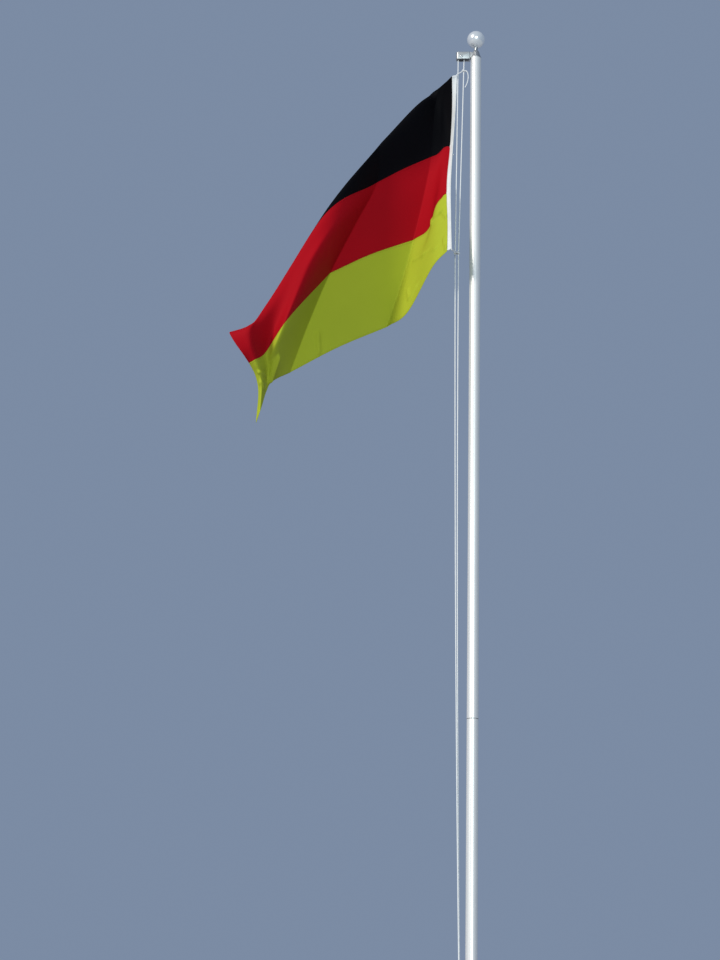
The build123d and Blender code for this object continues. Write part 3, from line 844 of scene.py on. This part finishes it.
# Operators, one for each piece or group of like pieces
class FLAGPOLE_OT_pole(bpy.types.Operator):
    """Finish the pole tubes, their joint, the foot and the ground collar"""

    bl_idname = "flagpole.pole"
    bl_label = "Pole"

    def execute(self, context):
        metal = context.scene.flagpole_metal
        coat_nodes(satin_tube(metal.tube), "lower_pole_tube", "upper_pole_tube")
        # The spigot is coated dark: painted shade in the joint between the tubes.
        coat_nodes(mill_spigot_painted_shade(metal.spigot), "joint_spigot")
        rubber = moulded_plastic("sleeve_rim", metal.plastic, 700.0)
        coat_nodes(rubber, "foot_plug")
        low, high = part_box("ground_collar")
        inner = TUBE_RADIUS + 0.0005
        turn_rings((
            (inner, low.z), (high.x - 0.001, low.z), (high.x, low.z + 0.001), (high.x, low.z + 0.004),
            (high.x - 0.002, low.z + 0.0062), (TUBE_RADIUS + 0.008, high.z - 0.004),
            (TUBE_RADIUS + 0.0052, high.z - 0.001), (TUBE_RADIUS + 0.004, high.z),
            (TUBE_RADIUS + 0.0015, high.z), (inner, high.z - 0.0015), (inner, low.z),
        ), 96)
        bpy.ops.mesh.select_all(action="SELECT")
        bpy.ops.mesh.remove_doubles(threshold=0.00001)
        collar = close_shape("sleeve_rim", smooth=50)
        dress(collar, rubber, "mast", "sleeve_plastic", "ground_collar")
        return {"FINISHED"}


class FLAGPOLE_OT_top(bpy.types.Operator):
    """Turn the cap and the ball, and cast the pulley arm over its sheave"""

    bl_idname = "flagpole.top"
    bl_label = "Top fittings"

    def execute(self, context):
        metal = context.scene.flagpole_metal
        casting = sand_cast(metal.casting)
        self.turn_cap(casting)
        self.turn_ball(metal)
        self.cast_arm(casting)
        self.rivet_pin()
        coat_nodes(moulded_plastic("black_sheave", metal.plastic, 900.0), "sheave")
        return {"FINISHED"}

    def turn_cap(self, casting):
        """Turn the cap with its plug and neck, and cast the boss that holds the arm."""
        head = TUBE_HIGH.z
        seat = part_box("finial_ball")[0].z
        plug = 0.0274
        profile = (
            (plug, 0), (0.0292, 0), (0.03, 0.0008), (0.03, 0.005), (0.0293, 0.0063), (0.0268, 0.0125),
            (0.0236, 0.0225), (0.0206, 0.0325), (0.0186, 0.0398), (0.0172, 0.0433), (0.015, 0.0445),
            (0.0124, 0.0455), (0.0107, 0.0478), (0.0099, 0.0525), (0.0097, 0.0605), (0.0101, 0.0665),
            (0.011, 0.0697),
        )
        turn_rings((
            (plug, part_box("top_cap")[0].z), *((radius, head + rise) for radius, rise in profile),
            (0.0118, seat + 0.0012), (0.007, seat + 0.0014),
        ), 72)
        cap = close_shape("turned_cap", smooth=50)
        half = 0.015
        start_block((ARM_HIGH.x, -half, head + 0.0005), (-0.004, half, ARM_HIGH.z))
        boss = close_shape("arm_boss", edge=0.002)
        dress(join_pieces(cap, boss), casting, "mast", "cast_aluminium", "top_cap")

    def turn_ball(self, metal):
        """Turn the ball, with a shallow recess below where it sits on the neck of the cap."""
        low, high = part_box("finial_ball")
        radius = high.x
        centre = high.z - radius
        start = math.acos((centre - low.z) / radius)
        bands = 40
        rings = []
        for band in range(bands + 1):
            angle = start + (math.pi - 0.02 - start) * band / bands
            rings.append((radius * math.sin(angle), centre - radius * math.cos(angle)))
        turn_rings(((0.0085, low.z + 0.003), (0.0095, low.z + 0.0002), *rings), 96)
        ball = close_shape("finial", smooth=60)
        dress(ball, bright_ball(metal.ball), "mast", "polished_ball", "finial_ball")

    def cast_arm(self, casting):
        """Cast the arm with its nose, the slot for the sheave and a pad at each end of the pin."""
        near = 0.001
        nose_round, root_round = 0.013, 0.004
        rim, roof = 0.005, 0.004
        arm = start_block(ARM_LOW, ARM_HIGH)
        pick(arm, "EDGE", lambda spot, run: abs(run.z) > 0.9 and spot.x < ARM_LOW.x + near)
        bpy.ops.mesh.bevel(offset=nose_round, segments=8, affect="EDGES")
        pick(arm, "EDGE", lambda spot, run: abs(run.y) > 0.9 and spot.z > ARM_HIGH.z - near
             and spot.x > ARM_HIGH.x - near)
        bpy.ops.mesh.bevel(offset=root_round, segments=4, affect="EDGES")
        pick(arm, "FACE", lambda spot, normal: normal.z < -0.9)
        bpy.ops.mesh.inset(thickness=rim)
        squeeze = SHEAVE_SLOT / 2 / (ARM_HIGH.y - rim)
        bpy.ops.transform.resize(value=(1, squeeze, 1), center_override=SHEAVE_CENTRE)
        depth = ARM_HIGH.z - ARM_LOW.z - roof
        bpy.ops.mesh.extrude_region_move(TRANSFORM_OT_translate={"value": (0, 0, depth)})
        arm = close_shape("arm_housing", edge=0.0016, smooth=45)
        turn_rings(((0.0096, 0), (0.0096, 0.0011), (0.0088, 0.0019)), 40)
        pads = set_out(close_shape("pin_pad", smooth=35), [
            Matrix.Translation((SHEAVE_CENTRE.x, side * ARM_HIGH.y, SHEAVE_CENTRE.z))
            @ Matrix.Rotation(-side * math.pi / 2, 4, "X") for side in (-1, 1)])
        dress(join_pieces(arm, *pads), casting, "mast", "cast_aluminium", "pulley_arm")

    def rivet_pin(self):
        """Turn the pin with a riveted head at both ends and lay it across the arm."""
        low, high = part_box("sheave_pin")
        reach = high.y
        shank = 0.004
        head = (high.x - low.x) / 2
        rivet = (
            (head * 0.35, 0), (head * 0.72, 0.0006), (head * 0.94, 0.0014), (head, 0.0026), (head, 0.003),
            (shank, 0.003),
        )
        rings = [(radius, rise - reach) for radius, rise in rivet]
        rings += [(radius, reach - rise) for radius, rise in reversed(rivet)]
        turn_rings(rings, 40)
        bpy.ops.mesh.select_all(action="SELECT")
        bpy.ops.transform.rotate(value=math.pi / 2, orient_axis="X", center_override=(0, 0, 0))
        bpy.ops.transform.translate(value=(SHEAVE_CENTRE.x, 0, SHEAVE_CENTRE.z))
        pin = close_shape("riveted_pin", smooth=50)
        dress(pin, plated_pin(), "mast", "pin_steel", "sheave_pin")


class FLAGPOLE_OT_cleat(bpy.types.Operator):
    """Cast the horned cleat with its foot, its plate and two screws"""

    bl_idname = "flagpole.cleat"
    bl_label = "Cleat"

    def execute(self, context):
        level = (CLEAT_LOW.z + CLEAT_HIGH.z) / 2
        bar = CLEAT_LOW.x + 0.007
        seat = -TUBE_RADIUS
        face = seat - PLATE_DEPTH
        horns = self.cast_horns(bar, level)
        foot = self.cast_block("cleat_foot", level, (bar, seat + 0.004, 0.009, 0.026), 0.006, 5, 0.001)
        plate = self.cast_block("cleat_plate", level, (face, seat + 0.006, 0.015, 0.042), 0.008, 6, 0.0014)
        casting = bpy.data.materials["sand_cast"]
        dress(join_pieces(horns, foot, plate), casting, "mast", "cast_aluminium", "cleat")
        turn_rings(((0.0044, -0.001), (0.0044, 0.0007), (0.0036, 0.0018), (0.0018, 0.0023)), 28)
        screws = set_out(close_shape("cleat_screws", smooth=50), [
            Matrix.Translation((face, 0, level + rise)) @ Matrix.Rotation(-math.pi / 2, 4, "Y")
            for rise in (-0.0355, 0.0355)])
        dress(join_pieces(*screws), bpy.data.materials["plated_pin"], "mast", "pin_steel")
        return {"FINISHED"}

    def cast_horns(self, bar, level):
        """Draw the bar out through its sections: share of the reach, depth, width and lean."""
        reach = (CLEAT_HIGH.z - CLEAT_LOW.z) / 2
        horn = (
            (0.45, 0.0066, 0.0076, 0.0), (0.75, 0.006, 0.007, 0.0006), (0.94, 0.0052, 0.0062, 0.0014),
            (0.985, 0.004, 0.0048, 0.002), (1.0, 0.0024, 0.003, 0.0024),
        )
        sections = [(-share, *size) for share, *size in reversed(horn)]
        sections += [(0.0, 0.007, 0.008, 0.0), *horn]
        spots = [Vector((bar - lean, 0, level + share * reach)) for share, _, _, lean in sections]
        sizes = [(deep, wide, 1) for _, deep, wide, _ in sections]
        clear_selection()
        bpy.ops.mesh.primitive_circle_add(vertices=28, radius=1, location=spots[0])
        bpy.ops.object.mode_set(mode="EDIT")
        bpy.ops.mesh.select_all(action="SELECT")
        bpy.ops.transform.resize(value=sizes[0], center_override=spots[0])
        for step in range(1, len(sections)):
            move = spots[step] - spots[step - 1]
            bpy.ops.mesh.extrude_edges_move(TRANSFORM_OT_translate={"value": move})
            grow = [size / before for size, before in zip(sizes[step], sizes[step - 1])]
            bpy.ops.transform.resize(value=grow, center_override=spots[step])
        return close_shape("horned_cleat", smooth=50)

    def cast_block(self, name, level, spans, corner, segments, edge):
        """Cast a block, from front to back and half across and up, with corners round as seen along X."""
        front, back, wide, high = spans
        block = start_block((front, -wide, level - high), (back, wide, level + high))
        pick(block, "EDGE", lambda spot, run: abs(run.x) > 0.9)
        bpy.ops.mesh.bevel(offset=corner, segments=segments, affect="EDGES")
        return close_shape(name, edge=edge)


class FLAGPOLE_OT_tail(bpy.types.Operator):
    """Hang the loose end of the top knot"""

    bl_idname = "flagpole.tail"
    bl_label = "Knot tail"

    def execute(self, context):
        rope = context.scene.flagpole_rope
        tail = route_curve("loose_tail", TAIL_ROUTE, rope.tie_diameter / 2, 4, 12)
        dress(tail, braided_rope("tie_braid", rope.colour, 6, 420), "flag", "tie_cord", "top_knot_tail")
        return {"FINISHED"}


class FLAGPOLE_OT_halyard(bpy.types.Operator):
    """Run the halyard over the sheave, past the flag and down to the cleat"""

    bl_idname = "flagpole.halyard"
    bl_label = "Halyard"

    def execute(self, context):
        rope = context.scene.flagpole_rope
        braid = braided_rope("halyard_braid", rope.colour, 8, 380)
        radius = rope.diameter / 2
        steps = 12
        over = []
        for step in range(steps + 1):
            angle = math.pi * step / steps
            spoke = Vector((-math.cos(angle), 0, math.sin(angle)))
            over.append(SHEAVE_CENTRE + spoke * (PITCH_RADIUS / ARC_SHRINK))
        bend = rope_mesh("rope_over_sheave", over, radius)
        dress(bend, braid, "mast", "halyard_rope", "halyard_over_sheave")
        for side in ("left", "right"):
            top, tie = STRAND_TOPS[side], STRAND_TIES[side]
            split = on_line(top, tie, SPLIT_SHARE)
            upper = rope_mesh(f"{side}_upper_strand", straight_run(top, split, 8), radius, steps=2)
            dress(upper, braid, None, "halyard_rope", f"halyard_upper_{side}")
            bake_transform(upper)
            past = rope_mesh(f"{side}_flag_strand", straight_run(split, tie, 12), radius, steps=3)
            dress(past, braid, "flag", "halyard_rope", f"halyard_flag_{side}")
            bow, foot = STRAND_BOWS[side], STRAND_FEET[side]
            lift = bow * 2 - (tie + foot) / 2
            lower = rope_mesh(f"{side}_lower_strand", (tie, lift, foot), radius, steps=40)
            dress(lower, braid, None, "halyard_rope", f"halyard_lower_{side}")
            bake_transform(lower)
        turns = [rope_mesh("cleat_hitch", points, radius) for points in CLEAT_HITCH]
        dress(join_pieces(*turns), braid, "mast", "halyard_rope", "halyard_cleat_turns")
        return {"FINISHED"}


class FLAGPOLE_OT_ties(bpy.types.Operator):
    """Tie the flag's top and bottom corners to the halyard"""

    bl_idname = "flagpole.ties"
    bl_label = "Ties"

    def execute(self, context):
        rope = context.scene.flagpole_rope
        radius = rope.tie_diameter / 2
        reach = (rope.diameter / 2 + radius) / TURN_SHRINK
        foot = hang_point(0.0, 1.0, context.scene.flagpole_cloth.fly)
        low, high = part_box("bottom_knot")
        centre = (low + high) / 2
        spread = STRAND_TIES["right"].x - STRAND_TIES["left"].x
        coils = winding(centre, reach, spread, 2, low.z + 0.0028, high.z - 0.0028)
        face = Vector((centre.x, low.y - 0.001, centre.z))
        pieces = (
            (self.top_tie(radius), "top_tie"),
            (self.top_hitch(radius, reach), "top_knot"),
            (rope_mesh("bottom_hitch", coils, radius), "bottom_knot"),
            (self.bottom_tie(radius, foot, face), "bottom_tie"),
        )
        for piece, node in pieces:
            dress(piece, bpy.data.materials["tie_braid"], "flag", "tie_cord", node)
        return {"FINISHED"}

    def top_tie(self, radius):
        """Lead the cord from the corner of the heading to the top knot."""
        corner = HOIST_HEAD
        return rope_mesh("top_corner_tie", (
            corner + Vector((-0.004, 0, -0.006)), corner + Vector((-0.0035, -0.0002, 0.002)),
            corner + Vector((0.0035, 0.0008, 0.0085)), on_line(corner, KNOT, 0.55) + Vector((0, 0, 0.0015)),
            KNOT + Vector((-0.0075, -0.0032, -0.0035)), KNOT + Vector((-0.0045, -0.0052, -0.005)),
        ), radius)

    def top_hitch(self, radius, reach):
        """Wind the top knot round its strand, with one turn that slants over the others."""
        rise, loose, slant, lag = 0.0052, 1.62, 0.55, 0.6
        knot = rope_mesh("top_hitch", winding(KNOT, reach, 0.0, 2, KNOT.z - rise, KNOT.z + rise), radius)
        over = []
        for degrees in range(-120, 301, 30):
            angle = math.radians(degrees)
            spoke = Vector((math.cos(angle), math.sin(angle), slant * math.sin(angle - lag)))
            over.append(KNOT + spoke * (reach * loose))
        return join_pieces(knot, rope_mesh("top_hitch_over", over, radius))

    def bottom_tie(self, radius, foot, face):
        """Lead two cords from the foot of the heading to the face of the bottom knot."""
        cords = []
        for side in (-1, 1):
            shift = Vector((0, 0, side * radius * 1.02))
            inside = foot + Vector((-0.002, 0.004, 0.006 + 0.002 * side))
            start = foot + Vector((0.0, 0.0, -2 * radius - 0.0005)) + shift
            end = face + shift
            cords.append(rope_mesh("bottom_corner_tie", (
                inside, on_line(inside, start, 0.6), on_line(start, end, 0.04), on_line(start, end, 0.35),
                on_line(start, end, 0.7), end, end + Vector((side * 0.004, 0.004, 0)),
            ), radius))
        return join_pieces(*cords)


class FLAGPOLE_OT_flag(bpy.types.Operator):
    """Weave the flag in its folds and part it into heading and stripes"""

    bl_idname = "flagpole.flag"
    bl_label = "Flag"

    def execute(self, context):
        cloth = context.scene.flagpole_cloth
        flag = weave_flag(cloth)
        parts = [("heading_tape", heading_canvas(cloth.heading), "heading_canvas", "flag_heading")]
        for name, colour in (("black", cloth.black), ("red", cloth.red), ("gold", cloth.gold)):
            material = bunting(f"{name}_bunting", colour, cloth)
            parts.append((f"{name}_stripe", material, f"{name}_cloth", f"flag_{name}_stripe"))
        for _, material, _, _ in parts:
            flag.data.materials.append(material)
        select_only(flag)
        bpy.ops.object.mode_set(mode="EDIT")
        bpy.ops.mesh.separate(type="MATERIAL")
        bpy.ops.object.mode_set(mode="OBJECT")
        pieces = {piece.active_material.name: piece for piece in context.selected_objects}
        for name, material, slot, node in parts:
            piece = pieces[material.name]
            piece.name = name
            piece.data.name = name
            heading = name == "heading_tape"
            apply_modifier(piece, "SUBSURF", levels=1, render_levels=1)
            thickness = cloth.bead if heading else cloth.thickness
            apply_modifier(piece, "SOLIDIFY", thickness=thickness, offset=0.0, vertex_group="hems",
                           thickness_vertex_group=0.0)
            select_only(piece)
            bpy.ops.object.shade_smooth()
            dress(piece, material, "flag", slot, node)
        return {"FINISHED"}


class FLAGPOLE_OT_stage(bpy.types.Operator):
    """Set the floor, the light and the camera"""

    bl_idname = "flagpole.stage"
    bl_label = "Stage"

    def execute(self, context):
        view = context.scene.flagpole_view
        self.lay_floor(view)
        self.set_light(context, view)
        self.set_camera(context)
        return {"FINISHED"}

    def lay_floor(self, view):
        """Lay a pale floor just below the foot of the pole."""
        width, drop, rough = 60, 0.001, 0.8
        clear_selection()
        bpy.ops.mesh.primitive_grid_add(
            x_subdivisions=8, y_subdivisions=8, size=width, location=(0, 0, -drop))
        floor = keep_active("floor")
        finish = Finish("pale_floor", view.floor, rough)
        patches = finish.noise(finish.place(), 3.0, 4.0)
        finish.coat(finish.mix(patches, shade(view.floor, 0.96), shade(view.floor, 1.03)), rough)
        floor.data.materials.append(finish.material)

    def set_light(self, context, view):
        """Set the light from all round, the sun and a fill from the front."""
        distance, softness = 12, math.radians(12)
        world = bpy.data.worlds.new("surround")
        world.use_nodes = True
        background = world.node_tree.nodes["Background"]
        background.inputs["Color"].default_value = (*view.surround, 1)
        background.inputs["Strength"].default_value = 1.0
        context.scene.world = world
        lamps = (
            ("key_light", (-0.62, -0.63, 0.47), 2.35, (1.0, 0.94, 0.84)),
            ("fill_light", (0.08, -0.99, 0.05), 1.4, (0.86, 1.0, 0.98)),
        )
        for name, towards, energy, colour in lamps:
            clear_selection()
            bpy.ops.object.light_add(type="SUN", location=Vector(towards) * distance)
            lamp = context.active_object
            lamp.name = name
            lamp.data.energy = energy
            lamp.data.color = colour
            lamp.data.angle = softness
            lamp.rotation_euler = Vector(towards).to_track_quat("Z", "Y").to_euler()

    def set_camera(self, context):
        """Set the camera in the photograph's view."""
        camera = bpy.data.objects.new("camera", bpy.data.cameras.new("camera"))
        context.scene.collection.objects.link(camera)
        turned = Matrix((ACROSS, UPRIGHT, -AHEAD)).transposed().to_4x4()
        camera.matrix_world = Matrix.Translation(EYE) @ turned
        camera.data.lens = LENS
        camera.data.sensor_width = SENSOR
        context.scene.camera = camera
        context.scene.view_settings.view_transform = "Standard"


class FLAGPOLE_PT_panel(bpy.types.Panel):
    """The flagpole's pieces and stage"""

    bl_idname = "FLAGPOLE_PT_panel"
    bl_label = "Flagpole"
    bl_space_type = "VIEW_3D"
    bl_region_type = "UI"
    bl_category = "Flagpole"

    def draw(self, context):
        for operator in OPERATORS:
            self.layout.operator(operator.bl_idname)


GROUPS = (
    ("flagpole_cloth", FlagpoleCloth),
    ("flagpole_rope", FlagpoleRope),
    ("flagpole_metal", FlagpoleMetal),
    ("flagpole_view", FlagpoleView),
)
OPERATORS = (
    FLAGPOLE_OT_stage,
    FLAGPOLE_OT_tail,
    FLAGPOLE_OT_pole,
    FLAGPOLE_OT_top,
    FLAGPOLE_OT_cleat,
    FLAGPOLE_OT_halyard,
    FLAGPOLE_OT_ties,
    FLAGPOLE_OT_flag,
)


def register():
    for name, group in GROUPS:
        bpy.utils.register_class(group)
        setattr(bpy.types.Scene, name, PointerProperty(type=group))
    for operator in OPERATORS:
        bpy.utils.register_class(operator)
    bpy.utils.register_class(FLAGPOLE_PT_panel)


def unregister():
    bpy.utils.unregister_class(FLAGPOLE_PT_panel)
    for operator in reversed(OPERATORS):
        bpy.utils.unregister_class(operator)
    for name, group in reversed(GROUPS):
        delattr(bpy.types.Scene, name)
        bpy.utils.unregister_class(group)


def main():
    register()
    bpy.ops.flagpole.stage()
    bpy.ops.flagpole.tail()
    bpy.ops.flagpole.pole()
    bpy.ops.flagpole.top()
    bpy.ops.flagpole.cleat()
    bpy.ops.flagpole.halyard()
    bpy.ops.flagpole.ties()
    bpy.ops.flagpole.flag()


if __name__ == "__main__":
    main()
